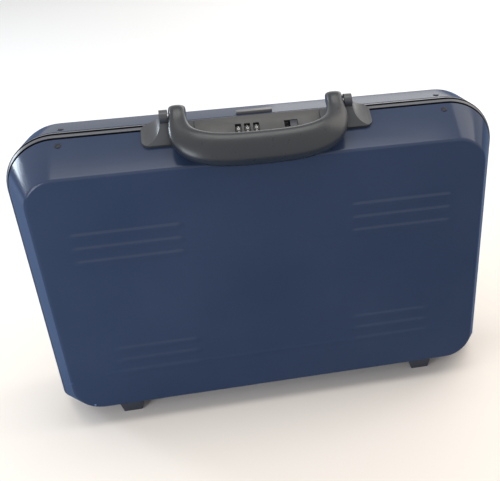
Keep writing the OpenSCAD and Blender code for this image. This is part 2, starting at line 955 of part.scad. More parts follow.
module latch_bolt() {
    color("silver") on_deck() at_bolt() rod_x(bolt_tip_x, button_x, bolt_r);
}

// A small slide under the housing that lets the wheels take a new code
module code_lever() {
    half = lever_w / 2;
    color("silver") on_deck() {
        block(
            [lever_x - half, -wheel_s - half, -housing_h - side_gap - cut],
            [lever_x + half, -wheel_s + half, lever_top]
        );
        block(
            [lever_x - lever_w, -wheel_s - lever_w, -housing_h - side_gap - lever_w],
            [lever_x + lever_w, -wheel_s + lever_w, -housing_h - side_gap]
        );
    }
}

module hasp_tab() {
    color("gray") rear_half() on_top_wall(rear) {
        translate([tab_x, -hasp_stud_s, 0]) rounded_block([tab_w, tab_depth], tab_depth / 3, 0, tab_h);
        for (x = hasp_stud_x) translate([x, -hasp_stud_s, -frame_t - hook_plate_t])
            cylinder(h = frame_t + hook_plate_t + cut, r = rivet_r);
    }
}

// A point under the rear top wall, as Y from the seam and Z from the top edge
function under_wall(s, n) =
    [s * cos(rear_lean) + n * sin(rear_lean), n * cos(rear_lean) - s * sin(rear_lean)];

// A plate under the rear frame, and a hook with an eye that reaches into the lock
module hasp_hook() {
    plate_mid = -frame_t - hook_plate_t / 2;
    color("silver") {
        rear_half() on_top_wall(rear) difference() {
            block(
                [-hook_plate_half, -hook_far, -frame_t - hook_plate_t],
                [hook_plate_half, -tab_near + cut, -frame_t]
            );
            for (x = hasp_stud_x) translate([x, -hasp_stud_s, -2 * frame_t])
                cylinder(h = 2 * frame_t, r = rivet_r + running_gap);
        }
        translate([0, seam_y, top_z]) difference() {
            translate([hook_x, 0, 0]) rotate([90, 0, 90]) linear_extrude(hook_t) polygon([
                [-hook_reach, -hook_bottom],
                [-hook_reach, -hook_top],
                [tab_near, -hook_top],
                under_wall(tab_near + cut, plate_mid),
                under_wall(hook_far - cut, plate_mid),
                under_wall(hook_far - cut, cut - hook_bottom)
            ]);
            translate([0, -bolt_back, -bolt_drop])
                rod_x(hook_x - cut, hook_x + hook_t + cut, bolt_r + side_gap);
        }
    }
}

// ---- Handle ----

// The flared bracket seen from the front, and its rounded post seen from the side
module handle_bracket() {
    post_in = handle_x + arm_w / 2 + handle_side_gap;
    post_out = post_in + post_w;
    flare = [for (i = [0 : arc_steps]) let (a = 90 * i / arc_steps) [
        post_out + (bracket_end_x - post_out) * (1 - sin(a)),
        pad_t + (pivot_n - pad_t) * (1 - cos(a))
    ]];
    dome = [for (i = [0 : 2 * arc_steps]) let (a = -20 + 220 * i / (2 * arc_steps))
        [-pivot_s - post_top_r * cos(a), pivot_n + post_top_r * sin(a)]];
    on_deck() difference() {
        intersection() {
            rotate([90, 0, 0]) linear_extrude(plate_far + cut) polygon(concat(
                [[plate_x + side_gap, 0], [bracket_end_x, 0]],
                flare,
                [
                    [post_out, pivot_n + post_top_r],
                    [post_in, pivot_n + post_top_r],
                    [post_in, plate_t],
                    [plate_x + side_gap, plate_t]
                ]
            ));
            rotate([90, 0, 90]) linear_extrude(case_w / 2) polygon(concat(
                [[-plate_near, 0], [-plate_far, 0], [-plate_far, pad_t]],
                dome,
                [[-plate_near, pad_t]]
            ));
            linear_extrude(pivot_n + 2 * post_top_r) {
                translate([0, -plate_far]) square([bracket_end_x - pad_r, plate_far]);
                translate([0, pad_r - plate_far])
                    square([bracket_end_x, plate_far - plate_near - 2 * pad_r]);
                for (y = [-plate_near - pad_r, pad_r - plate_far])
                    translate([bracket_end_x - pad_r, y]) circle(pad_r);
            }
        }
        translate([0, -pivot_s, pivot_n]) rod_x(0, case_w / 2, handle_pin_r + running_gap);
    }
}

module handle_bracket_left() {
    color("dimgray") mirror([1, 0, 0]) handle_bracket();
}

module handle_bracket_right() {
    color("dimgray") handle_bracket();
}

module handle_pins() {
    color("silver") on_deck() translate([0, -pivot_s, pivot_n]) left_and_right()
        rod_x(handle_x - arm_w / 2 + 2 * cut, handle_x + arm_w / 2 + post_w, handle_pin_r);
}

// The grip and its arms in one swept piece, folded over the front edge
module handle() {
    eye_w = arm_w + 2 * seat_gap;
    color("dimgray") translate([0, seam_y + pivot_y, pivot_z]) rotate([handle_drop, 0, 0]) difference() {
        union() {
            skin([for (i = [0 : 2 * handle_steps]) handle_ring(i)]);
            left_and_right() rod_x(handle_x - eye_w / 2, handle_x + eye_w / 2, eye_r);
        }
        left_and_right() rod_x(handle_x - arm_w / 2 + cut, handle_x + arm_w, handle_pin_r + running_gap);
    }
}

front_shell();
rear_shell();
front_frame();
rear_frame();
frame_gasket();
front_rivets();
rear_rivets();
front_feet();
rear_feet();
front_lining();
rear_lining();
laptop_cushion();
laptop_strap();
strap_buckle();
organiser_panel();
organiser_pockets();
hinge_leaf_front();
hinge_leaf_rear();
hinge_pin();
lock_plate();
lock_housing();
wheel_axle();
number_wheel_1();
number_wheel_2();
number_wheel_3();
wheel_detent();
open_button();
latch_bolt();
code_lever();
hasp_tab();
hasp_hook();
handle_bracket_left();
handle_bracket_right();
handle_pins();
handle();
stay_arm_lower_left();
stay_arm_lower_right();
stay_arm_upper_left();
stay_arm_upper_right();
stay_brackets_front();
stay_brackets_rear();
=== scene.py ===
import math

import bmesh
import bpy
from mathutils import Matrix, Vector


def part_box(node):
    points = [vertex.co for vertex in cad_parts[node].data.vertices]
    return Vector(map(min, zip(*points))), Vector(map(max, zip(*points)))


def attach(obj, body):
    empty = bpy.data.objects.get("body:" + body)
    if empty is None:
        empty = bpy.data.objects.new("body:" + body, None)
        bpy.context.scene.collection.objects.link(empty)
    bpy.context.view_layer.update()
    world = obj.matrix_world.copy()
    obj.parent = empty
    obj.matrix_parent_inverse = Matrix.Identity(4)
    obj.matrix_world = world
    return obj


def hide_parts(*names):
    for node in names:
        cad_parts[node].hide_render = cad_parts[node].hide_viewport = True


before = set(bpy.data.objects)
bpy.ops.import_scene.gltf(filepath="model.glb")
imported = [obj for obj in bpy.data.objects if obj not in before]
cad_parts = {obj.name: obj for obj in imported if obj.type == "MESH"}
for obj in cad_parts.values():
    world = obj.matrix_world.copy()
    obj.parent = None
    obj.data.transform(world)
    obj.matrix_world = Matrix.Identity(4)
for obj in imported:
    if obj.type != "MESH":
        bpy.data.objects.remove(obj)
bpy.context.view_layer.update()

scene = bpy.context.scene

# the case's sizes and where its halves are

case = {
    "width": 0.450,
    "height": 0.300,
    "cornerRadius": 0.049,
    "lowRadius": 0.011,
    "sheet": 0.0015,
    "shellStart": 0.0046,
    "rimRoll": 0.0010,
    "cornerSteps": 14,
    "edgeSteps": 9,
}
frontHalf = {"depth": 0.046, "lean": math.radians(25), "edgeRadius": 0.004}
rearHalf = {"depth": 0.050, "lean": math.radians(8.5), "edgeRadius": 0.018}
frameLow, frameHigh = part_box("front_frame")
seamY = (frameHigh.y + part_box("rear_frame")[0].y) / 2
middleZ = (frameLow.z + frameHigh.z) / 2

# both halves are modelled face up: X along the width, Y up the case, Z out from the seam
frontPlace = Matrix.Translation((0, seamY, middleZ)) @ Matrix.Rotation(math.radians(90), 4, "X")
rearPlace = frontPlace @ Matrix.Rotation(math.radians(180), 4, "Y")


def wallTurn(half):
    # on a half's top wall: X along it, Y towards the seam, Z out of it
    return Matrix.Translation((0, case["height"] / 2, 0)) @ Matrix.Rotation(
        half["lean"] - math.radians(90), 4, "X"
    )




def tightenCorners(obj, half, place):
    # the two lower corners are tighter at the seam than at the face
    reach = case["cornerRadius"]
    back = place.inverted()
    for vertex in obj.data.vertices:
        spot = back @ vertex.co
        across = abs(spot.x) - (case["width"] / 2 - reach)
        down = -spot.y - (case["height"] / 2 - reach)
        if across < 0.00002 or down < 0.00002:
            continue
        angle = math.atan2(down, across)
        share = (reach - case["lowRadius"]) * min(1.0, max(0.0, 1 - spot.z / half["depth"]))
        spot.x += math.copysign(share * (1 - math.cos(angle)), spot.x)
        spot.y -= share * (1 - math.sin(angle))
        vertex.co = place @ spot


# helpers for modelling

def takeUp(obj):
    # nothing else stays selected
    if bpy.context.object is not None and bpy.context.object.mode != "OBJECT":
        bpy.ops.object.mode_set(mode="OBJECT")
    bpy.ops.object.select_all(action="DESELECT")
    obj.select_set(True)
    bpy.context.view_layer.objects.active = obj


def editOn(obj):
    takeUp(obj)
    bpy.ops.object.mode_set(mode="EDIT")


def editOff():
    bpy.ops.object.mode_set(mode="OBJECT")


def parts(kind):
    shape = bmesh.from_edit_mesh(bpy.context.edit_object.data)
    return {"VERT": shape.verts, "EDGE": shape.edges, "FACE": shape.faces}[kind]


def pick(kind, test):
    # selects what passes the test, by its place or normal
    bpy.ops.mesh.select_mode(type=kind)
    bpy.ops.mesh.select_all(action="DESELECT")
    for part in parts(kind):
        if test(part):
            part.select_set(True)
    bmesh.update_edit_mesh(bpy.context.edit_object.data)


def edgeMiddle(edge):
    return (edge.verts[0].co + edge.verts[1].co) / 2


def modify(obj, kind, **settings):
    takeUp(obj)
    modifier = obj.modifiers.new("shaping", kind)
    for setting, value in settings.items():
        setattr(modifier, setting, value)
    bpy.ops.object.modifier_apply(modifier=modifier.name)


def settle(obj, place=None):
    # the place goes into the mesh, and the object back to the origin
    takeUp(obj)
    if place is not None:
        obj.matrix_world = place @ obj.matrix_world
    bpy.ops.object.transform_apply(location=True, rotation=True, scale=True)


def cleanUp(obj):
    editOn(obj)
    bpy.ops.mesh.select_all(action="SELECT")
    bpy.ops.mesh.remove_doubles(threshold=0.00001)
    bpy.ops.mesh.normals_make_consistent(inside=False)
    editOff()


def finishPiece(obj, name, body, material, stands=(), smoothAngle=35):
    # name, finish, shading and body of a modelled piece
    obj.name = name
    obj.data.name = name
    takeUp(obj)
    bpy.ops.object.shade_smooth_by_angle(angle=math.radians(smoothAngle))
    if material is not None:
        obj.data.materials.clear()
        obj.data.materials.append(material)
    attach(obj, body)
    if stands:
        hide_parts(*stands)
    return obj


def fromNode(node, edgeWidth=0.0004, segments=2, limit=35):
    # a merged copy of a CAD node, with its hard edges rounded
    obj = bpy.data.objects.new(node + "Copy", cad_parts[node].data.copy())
    scene.collection.objects.link(obj)
    editOn(obj)
    bpy.ops.mesh.customdata_custom_splitnormals_clear()
    bpy.ops.mesh.select_all(action="SELECT")
    bpy.ops.mesh.remove_doubles(threshold=0.00001)
    bpy.ops.mesh.dissolve_limited(angle_limit=math.radians(0.6))
    editOff()
    if edgeWidth:
        modify(
            obj, "BEVEL", width=edgeWidth, segments=segments, limit_method="ANGLE",
            angle_limit=math.radians(limit), use_clamp_overlap=True,
        )
    return obj


def joinAll(objs):
    takeUp(objs[0])
    for obj in objs[1:]:
        obj.select_set(True)
    bpy.ops.object.join()
    return bpy.context.object


# helpers for the finishes

def addNode(tree, kind, **settings):
    node = tree.nodes.new(kind)
    for setting, value in settings.items():
        setattr(node, setting, value)
    return node


def newGroup(name, inputs, outputs):
    # a node group with named sockets: (name, type, default)
    tree = bpy.data.node_groups.new(name, "ShaderNodeTree")
    for label, kind, value in inputs:
        socket = tree.interface.new_socket(name=label, in_out="INPUT", socket_type=kind)
        if value is not None:
            socket.default_value = value
    for label, kind in outputs:
        tree.interface.new_socket(name=label, in_out="OUTPUT", socket_type=kind)
    return tree, addNode(tree, "NodeGroupInput"), addNode(tree, "NodeGroupOutput")


def mathNode(tree, operation, first, second=None, clamp=False):
    node = addNode(tree, "ShaderNodeMath", operation=operation, use_clamp=clamp)
    for index, value in enumerate((first, second)):
        if value is None:
            continue
        if isinstance(value, (int, float)):
            node.inputs[index].default_value = value
        else:
            tree.links.new(value, node.inputs[index])
    return node.outputs[0]


def mixColours(tree, share, first, second, blend="MIX"):
    node = addNode(tree, "ShaderNodeMix", data_type="RGBA", blend_type=blend)
    for socket, value in ((node.inputs[0], share), (node.inputs[6], first), (node.inputs[7], second)):
        if isinstance(value, (int, float)):
            socket.default_value = value
        elif isinstance(value, tuple):
            socket.default_value = (*value, 1) if len(value) == 3 else value
        else:
            tree.links.new(value, socket)
    return node.outputs[2]


def spread(tree, value, low, high, toLow=0.0, toHigh=1.0):
    node = addNode(tree, "ShaderNodeMapRange")
    for index, bound in enumerate((low, high, toLow, toHigh), start=1):
        if isinstance(bound, (int, float)):
            node.inputs[index].default_value = bound
        else:
            tree.links.new(bound, node.inputs[index])
    tree.links.new(value, node.inputs[0])
    return node.outputs[0]


def noiseNode(tree, place, scale, detail=2.0, roughness=0.5):
    node = addNode(tree, "ShaderNodeTexNoise")
    tree.links.new(place, node.inputs["Vector"])
    if isinstance(scale, (int, float)):
        node.inputs["Scale"].default_value = scale
    else:
        tree.links.new(scale, node.inputs["Scale"])
    node.inputs["Detail"].default_value = detail
    node.inputs["Roughness"].default_value = roughness
    return node.outputs["Fac"]


# mottle: slow and fine differences of tone over a surface
mottleTree, mottleIn, mottleOut = newGroup(
    "mottle",
    [("Place", "NodeSocketVector", None), ("Slow Scale", "NodeSocketFloat", 9.0),
     ("Fine Scale", "NodeSocketFloat", 160.0)],
    [("Slow", "NodeSocketFloat"), ("Fine", "NodeSocketFloat")],
)
slowNoise = noiseNode(mottleTree, mottleIn.outputs["Place"], mottleIn.outputs["Slow Scale"], 3.0)
fineNoise = noiseNode(mottleTree, mottleIn.outputs["Place"], mottleIn.outputs["Fine Scale"], 4.0, 0.65)
mottleTree.links.new(spread(mottleTree, slowNoise, 0.3, 0.7), mottleOut.inputs["Slow"])
mottleTree.links.new(spread(mottleTree, fineNoise, 0.3, 0.7), mottleOut.inputs["Fine"])

# edgeWear: 1 where a finish is rubbed through at its edges
wearTree, wearIn, wearOut = newGroup(
    "edgeWear",
    [("Place", "NodeSocketVector", None), ("Edge", "NodeSocketFloat", 0.56)],
    [("Rubbed", "NodeSocketFloat")],
)
pointed = addNode(wearTree, "ShaderNodeNewGeometry").outputs["Pointiness"]
ragged = noiseNode(wearTree, wearIn.outputs["Place"], 220.0, 4.0, 0.7)
edgeTop = mathNode(wearTree, "ADD", wearIn.outputs["Edge"], 0.05)
rubbed = spread(wearTree, pointed, wearIn.outputs["Edge"], edgeTop)
wearTree.links.new(
    mathNode(wearTree, "MULTIPLY", rubbed, spread(wearTree, ragged, 0.42, 0.62)),
    wearOut.inputs["Rubbed"],
)

# nick: 1 inside one small ragged nick
nickTree, nickIn, nickOut = newGroup(
    "nick",
    [("Place", "NodeSocketVector", None), ("Spot", "NodeSocketVector", None),
     ("Size", "NodeSocketFloat", 0.001)],
    [("Nicked", "NodeSocketFloat")],
)
nickAway = addNode(nickTree, "ShaderNodeVectorMath", operation="DISTANCE")
nickTree.links.new(nickIn.outputs["Place"], nickAway.inputs[0])
nickTree.links.new(nickIn.outputs["Spot"], nickAway.inputs[1])
nickReach = mathNode(
    nickTree, "MULTIPLY", noiseNode(nickTree, nickIn.outputs["Place"], 1100.0, 2.0),
    mathNode(nickTree, "MULTIPLY", nickIn.outputs["Size"], 2.0),
)
nickTree.links.new(
    mathNode(nickTree, "LESS_THAN", nickAway.outputs["Value"], nickReach), nickOut.inputs["Nicked"]
)

# painted shade: 1 in the seam and in the groove beside the frame, where the gap and the step lie in shade
seamTree, seamIn, seamOut = newGroup(
    "paintedSeamShade",
    [("Place", "NodeSocketVector", None), ("Seam", "NodeSocketFloat", seamY),
     ("Groove", "NodeSocketFloat", case["shellStart"])],
    [("Shade", "NodeSocketFloat")],
)
seamSplit = addNode(seamTree, "ShaderNodeSeparateXYZ")
seamTree.links.new(seamIn.outputs["Place"], seamSplit.inputs[0])
seamAway = mathNode(
    seamTree, "ABSOLUTE", mathNode(seamTree, "SUBTRACT", seamSplit.outputs["Y"], seamIn.outputs["Seam"])
)
grooveAway = mathNode(
    seamTree, "ABSOLUTE", mathNode(seamTree, "SUBTRACT", seamAway, seamIn.outputs["Groove"])
)
seamTree.links.new(
    mathNode(
        seamTree, "MAXIMUM", spread(seamTree, seamAway, 0.0011, 0.0017, 1.0, 0.0),
        spread(seamTree, grooveAway, 0.0003, 0.0010, 1.0, 0.0),
    ),
    seamOut.inputs["Shade"],
)

# grain: a height for fine pressed or moulded texture
grainTree, grainIn, grainOut = newGroup(
    "grain",
    [("Place", "NodeSocketVector", None), ("Scale", "NodeSocketFloat", 900.0),
     ("Wave Scale", "NodeSocketFloat", 14.0), ("Wave", "NodeSocketFloat", 0.0)],
    [("Height", "NodeSocketFloat")],
)
fineHeight = noiseNode(grainTree, grainIn.outputs["Place"], grainIn.outputs["Scale"], 2.0)
waveHeight = mathNode(
    grainTree, "MULTIPLY",
    noiseNode(grainTree, grainIn.outputs["Place"], grainIn.outputs["Wave Scale"], 1.0),
    grainIn.outputs["Wave"],
)
grainTree.links.new(mathNode(grainTree, "ADD", fineHeight, waveHeight), grainOut.inputs["Height"])

# weave: threads over and under, on object coordinates
weaveTree, weaveIn, weaveOut = newGroup(
    "weave",
    [("Place", "NodeSocketVector", None), ("Threads", "NodeSocketFloat", 900.0)],
    [("Height", "NodeSocketFloat"), ("Tone", "NodeSocketFloat")],
)
weaveWarp = addNode(weaveTree, "ShaderNodeSeparateXYZ")
weaveTree.links.new(weaveIn.outputs["Place"], weaveWarp.inputs[0])
weaveDepth = mathNode(weaveTree, "MULTIPLY", weaveWarp.outputs["Y"], 0.5)
weaveTurns = mathNode(weaveTree, "MULTIPLY", weaveIn.outputs["Threads"], 2 * math.pi)
waves = []
for direction in ("X", "Z"):
    run = mathNode(weaveTree, "ADD", weaveWarp.outputs[direction], weaveDepth)
    waves.append(mathNode(weaveTree, "SINE", mathNode(weaveTree, "MULTIPLY", run, weaveTurns)))
crossed = mathNode(weaveTree, "MULTIPLY", waves[0], waves[1])
weaveTree.links.new(spread(weaveTree, crossed, -1.0, 1.0), weaveOut.inputs["Height"])
weaveTree.links.new(spread(weaveTree, crossed, -0.6, 0.6, 0.75, 1.0), weaveOut.inputs["Tone"])


def newMaterial(name, shader):
    # an empty material with its shader settings and the object's own coordinates
    material = bpy.data.materials.new(name)
    material.use_nodes = True
    tree = material.node_tree
    surface = tree.nodes["Principled BSDF"]
    for socket, value in shader.items():
        surface.inputs[socket].default_value = (*value, 1) if isinstance(value, tuple) else value
    place = addNode(tree, "ShaderNodeTexCoord").outputs["Object"]
    return material, tree, surface, place


def useGroup(tree, group, place, **values):
    node = addNode(tree, "ShaderNodeGroup", node_tree=group)
    tree.links.new(place, node.inputs["Place"])
    for socket, value in values.items():
        node.inputs[socket.replace("_", " ")].default_value = value
    return node


def addBump(tree, surface, height, distance, strength=1.0):
    bump = addNode(tree, "ShaderNodeBump")
    bump.inputs["Strength"].default_value = strength
    bump.inputs["Distance"].default_value = distance
    tree.links.new(height, bump.inputs["Height"])
    tree.links.new(bump.outputs["Normal"], surface.inputs["Normal"])
    return bump


def finishMaterial(name, colour, darker, roughness, rougher, metallic=0.0, grainScale=900.0,
                   grainDepth=0.00002, wave=0.0, bare=None, edge=0.56, nicks=(), shaded=False, shader=None):
    # a hard finish: two tones, uneven gloss, fine grain, bare material where it is worn, and painted shade
    # in the seam and the groove when shaded
    material, tree, surface, place = newMaterial(name, shader or {})
    mottle = useGroup(tree, mottleTree, place)
    tone = mixColours(tree, mottle.outputs["Slow"], colour, darker)
    gloss = spread(tree, mottle.outputs["Fine"], 0.0, 1.0, roughness, rougher)
    grain = useGroup(tree, grainTree, place, Scale=grainScale, Wave=wave)
    tree.links.new(gloss, surface.inputs["Roughness"])
    surface.inputs["Metallic"].default_value = metallic
    if bare is not None:
        worn = useGroup(tree, wearTree, place, Edge=edge).outputs["Rubbed"]
        for spot, size in nicks:
            nick = useGroup(tree, nickTree, place, Spot=spot, Size=size)
            worn = mathNode(tree, "MAXIMUM", worn, nick.outputs["Nicked"])
        # painted shade: the seam and the groove are darkened to near black and lose most of their coat, and
        # no wear shows there
        if shaded:
            shade = useGroup(tree, seamTree, place).outputs["Shade"]
            worn = mathNode(tree, "MULTIPLY", worn, mathNode(tree, "SUBTRACT", 1.0, shade))
            tone = mixColours(tree, shade, tone, (0.002, 0.002, 0.003))
            coat = surface.inputs["Coat Weight"]
            full = coat.default_value
            tree.links.new(spread(tree, shade, 0.0, 1.0, full, 0.1 * full), coat)
        tone = mixColours(tree, worn, tone, bare)
        tree.links.new(spread(tree, worn, 0.0, 1.0, metallic, 1.0), surface.inputs["Metallic"])
    tree.links.new(tone, surface.inputs["Base Color"])
    addBump(tree, surface, grain.outputs["Height"], grainDepth)
    return material


print("making the finishes")
nickSpots = (
    ((0.1688, -0.0397, 0.0251), 0.0010),
    ((0.1366, -0.0397, 0.0255), 0.0009),
    ((-0.1866, -0.0397, 0.0322), 0.0010),
    ((-0.2036, -0.0397, 0.0632), 0.0008),
    ((-0.2224, 0.0008, 0.1971), 0.0009),
)
shellPaint = finishMaterial(
    "shellPaint", (0.024, 0.039, 0.080), (0.031, 0.047, 0.092), 0.27, 0.36, grainScale=700.0,
    grainDepth=0.000022, wave=1.5, bare=(0.62, 0.63, 0.65), edge=0.60, nicks=nickSpots, shaded=True,
    shader={"Specular IOR Level": 0.0, "Coat Weight": 0.50, "Coat Roughness": 0.15},
)
framePaint = finishMaterial(
    "framePaint", (0.080, 0.085, 0.100), (0.096, 0.100, 0.114), 0.30, 0.42, grainScale=1200.0,
    grainDepth=0.00001, bare=(0.62, 0.63, 0.65), edge=0.66, shaded=True,
    shader={"Specular IOR Level": 0.0, "Coat Weight": 1.0, "Coat Roughness": 0.36},
)
handlePlastic = finishMaterial(
    "handlePlastic", (0.011, 0.014, 0.018), (0.016, 0.018, 0.021), 0.26, 0.36, grainScale=1500.0,
    grainDepth=0.00002, wave=0.5,
)
bracketPlastic = finishMaterial(
    "bracketPlastic", (0.040, 0.043, 0.048), (0.050, 0.053, 0.058), 0.30, 0.42, grainScale=1500.0,
    grainDepth=0.00002,
)
platePlastic = finishMaterial(
    "platePlastic", (0.040, 0.040, 0.041), (0.050, 0.049, 0.049), 0.36, 0.48, grainScale=1600.0,
    grainDepth=0.00002,
)
# grey plastic of the hasp tab, painted lighter than the plate's as if its top face were lit
tabPaintedLitPlastic = finishMaterial(
    "tabPaintedLitPlastic", (0.085, 0.084, 0.088), (0.100, 0.099, 0.103), 0.34, 0.46, grainScale=1600.0,
    grainDepth=0.00002,
)
wheelPlastic = finishMaterial(
    "wheelPlastic", (0.008, 0.008, 0.009), (0.012, 0.012, 0.013), 0.35, 0.5, grainScale=2000.0,
    grainDepth=0.000008,
)
digitPaint = finishMaterial(
    "digitPaint", (0.80, 0.80, 0.78), (0.70, 0.70, 0.68), 0.5, 0.6, grainScale=3000.0, grainDepth=0.000004,
)
buttonPlastic = finishMaterial(
    "buttonPlastic", (0.015, 0.018, 0.030), (0.020, 0.023, 0.036), 0.35, 0.45, grainScale=1500.0,
    grainDepth=0.00001,
)
footRubber = finishMaterial(
    "footRubber", (0.034, 0.038, 0.050), (0.046, 0.050, 0.062), 0.62, 0.78, grainScale=1300.0,
    grainDepth=0.00003,
)
sealRubber = finishMaterial(
    "sealRubber", (0.010, 0.010, 0.011), (0.016, 0.016, 0.017), 0.55, 0.7, grainScale=1500.0,
    grainDepth=0.00001,
)
rivetPaint = finishMaterial(
    "rivetPaint", (0.004, 0.007, 0.014), (0.007, 0.010, 0.018), 0.30, 0.40, grainScale=1800.0,
    grainDepth=0.000008, shader={"Specular IOR Level": 0.3},
)
brushedSteel = finishMaterial(
    "brushedSteel", (0.56, 0.56, 0.57), (0.46, 0.46, 0.47), 0.26, 0.42, metallic=1.0, grainScale=1400.0,
    grainDepth=0.00001,
)
liningCloth, liningTree, liningSurface, liningPlace = newMaterial("liningCloth", {"Roughness": 0.9})
liningWeave = useGroup(liningTree, weaveTree, liningPlace, Threads=650.0)
liningMottle = useGroup(liningTree, mottleTree, liningPlace, Slow_Scale=14.0, Fine_Scale=400.0)
liningTone = mixColours(
    liningTree, liningMottle.outputs["Slow"], (0.060, 0.064, 0.072), (0.078, 0.082, 0.090)
)
liningTree.links.new(
    mixColours(liningTree, liningWeave.outputs["Tone"], (0.035, 0.037, 0.042), liningTone),
    liningSurface.inputs["Base Color"],
)
addBump(liningTree, liningSurface, liningWeave.outputs["Height"], 0.00012)


def wovenMaterial(name, colour, darker, threads, depth, sheen=0.2):
    # cloth: threads over and under, uneven tone, and a soft sheen
    material, tree, surface, place = newMaterial(name, {"Roughness": 0.85, "Sheen Weight": sheen})
    weave = useGroup(tree, weaveTree, place, Threads=threads)
    mottle = useGroup(tree, mottleTree, place, Slow_Scale=18.0, Fine_Scale=500.0)
    tone = mixColours(tree, mottle.outputs["Slow"], colour, darker)
    tree.links.new(mixColours(tree, weave.outputs["Tone"], darker, tone), surface.inputs["Base Color"])
    addBump(tree, surface, weave.outputs["Height"], depth)
    return material


padFabric = wovenMaterial("padFabric", (0.030, 0.032, 0.038), (0.018, 0.019, 0.023), 900.0, 0.00015)
pocketFabric = wovenMaterial("pocketFabric", (0.048, 0.050, 0.058), (0.030, 0.032, 0.038), 1200.0, 0.00010)
strapWebbing = wovenMaterial("strapWebbing", (0.016, 0.017, 0.020), (0.008, 0.009, 0.010), 700.0, 0.00025)


# the pressed shells

ribs = {
    "middle": -0.007,
    "first": 0.051,
    "pitch": 0.014,
    "count": 3,
    "inner": 0.075,
    "lowLength": 0.082,
    "highLength": 0.100,
    "halfWidth": 0.0046,
    "height": 0.0012,
    "creaseLength": 0.340,
    "creaseHeight": 0.0005,
    "creaseHalfWidth": 0.0033,
    "bandMargin": 0.0065,
    "stepX": 0.0026,
    "stepY": 0.0009,
}


def wallPoint(half, depth, inset):
    return Vector((depth * math.tan(half["lean"]) + inset / math.cos(half["lean"]), depth))


def panLine(half, inset, start):
    # across from the outline and out from the seam: leaning wall, then the edge of the face
    lean = half["lean"]
    radius = max(half["edgeRadius"] - inset, 0.0005)
    centre = wallPoint(half, half["depth"] - inset - radius, inset + radius)
    line = [wallPoint(half, start, inset), wallPoint(half, start + 1.5 * case["rimRoll"], inset)]
    for step in range(case["edgeSteps"] + 1):
        angle = math.pi - lean - step * (math.pi / 2 - lean) / case["edgeSteps"]
        line.append(centre + radius * Vector((math.cos(angle), math.sin(angle))))
    return line


def pressPan(half, inset, start):
    # a rounded plate whose face is inset step by step along the wall line
    line = panLine(half, inset, start)
    bpy.ops.object.select_all(action="DESELECT")
    bpy.ops.mesh.primitive_plane_add(size=1)
    pan = bpy.context.object
    pan.dimensions = (case["width"] - 2 * line[0].x, case["height"] - 2 * line[0].x, 0)
    pan.location = (0, 0, line[0].y)
    settle(pan)
    editOn(pan)
    bpy.ops.mesh.select_all(action="SELECT")
    bpy.ops.mesh.bevel(
        offset=case["cornerRadius"] - line[0].x, offset_type="OFFSET", segments=case["cornerSteps"],
        affect="VERTICES",
    )
    for last, point in zip(line, line[1:]):
        bpy.ops.mesh.select_mode(type="FACE")
        bpy.ops.mesh.inset(thickness=point.x - last.x, depth=point.y - last.y)
    return pan


def ribHeight(place):
    # how far the pressed pattern stands out at a point of the face
    def rise(x, y, fromX, toX, halfWidth, height):
        near = max(fromX + halfWidth, min(toX - halfWidth, x))
        away = math.hypot(x - near, y) / halfWidth
        return height * (0.5 + 0.5 * math.cos(math.pi * away)) if away < 1 else 0.0

    across, up = abs(place.x), place.y - ribs["middle"]
    best = 0.0
    for index in range(ribs["count"]):
        offset = ribs["first"] + index * ribs["pitch"]
        inner = ribs["inner"]
        best = max(
            best,
            rise(across, up - offset, inner, inner + ribs["highLength"], ribs["halfWidth"], ribs["height"]),
            rise(across, up + offset, inner, inner + ribs["lowLength"], ribs["halfWidth"], ribs["height"]),
        )
    farthest = ribs["first"] + (ribs["count"] - 1) * ribs["pitch"]
    for offset in (ribs["first"], -farthest):
        half = ribs["creaseLength"] / 2
        best = max(
            best,
            rise(place.x, up - offset, -half, half, ribs["creaseHalfWidth"], ribs["creaseHeight"]),
        )
    return best


def pressShell(half):
    depth = half["depth"]
    pan = pressPan(half, 0, case["shellStart"])
    bpy.ops.mesh.delete(type="ONLY_FACE")
    # two dense bands carry the ribs, with one plain panel between them
    low = ribs["first"] - ribs["bandMargin"]
    high = ribs["first"] + (ribs["count"] - 1) * ribs["pitch"] + ribs["bandMargin"]
    halfWide = ribs["creaseLength"] / 2 + 2 * ribs["bandMargin"]
    for sign in (-1, 1):
        bpy.ops.mesh.select_all(action="DESELECT")
        bpy.ops.mesh.primitive_grid_add(
            size=1, x_subdivisions=round(2 * halfWide / ribs["stepX"]),
            y_subdivisions=round((high - low) / ribs["stepY"]),
        )
        bpy.ops.transform.resize(value=(2 * halfWide, high - low, 1), center_override=(0, 0, 0))
        bpy.ops.transform.translate(value=(0, ribs["middle"] + sign * (low + high) / 2, depth))

    def onFace(edge):
        return edge.is_boundary and abs(edgeMiddle(edge).z - depth) < 0.0001

    # the plain panel between the two bands
    pick("EDGE", lambda edge: onFace(edge) and abs(edgeMiddle(edge).x) < halfWide - 0.0001
         and abs(abs(edgeMiddle(edge).y - ribs["middle"]) - low) < 0.0001)
    bpy.ops.mesh.bridge_edge_loops()
    # and the margin round them, out to the rolled edge
    pick("EDGE", onFace)
    bpy.ops.mesh.bridge_edge_loops()
    editOff()
    heights = pan.vertex_groups.new(name="pressed")
    for vertex in pan.data.vertices:
        if abs(vertex.co.z - depth) < 0.00005:
            weight = ribHeight(vertex.co) / ribs["height"]
            if weight > 0:
                heights.add([vertex.index], weight, "REPLACE")
    cleanUp(pan)
    # the open rim is rolled in beside the frame
    for vertex in pan.data.vertices:
        if abs(vertex.co.z - case["shellStart"]) < 0.00001:
            vertex.co.xy -= vertex.normal.xy.normalized() * case["rimRoll"]
    modify(pan, "DISPLACE", vertex_group="pressed", direction="Z", strength=ribs["height"], mid_level=0.0)
    pan.vertex_groups.clear()
    modify(pan, "SOLIDIFY", thickness=case["sheet"], offset=-1.0, use_even_offset=True)
    return pan


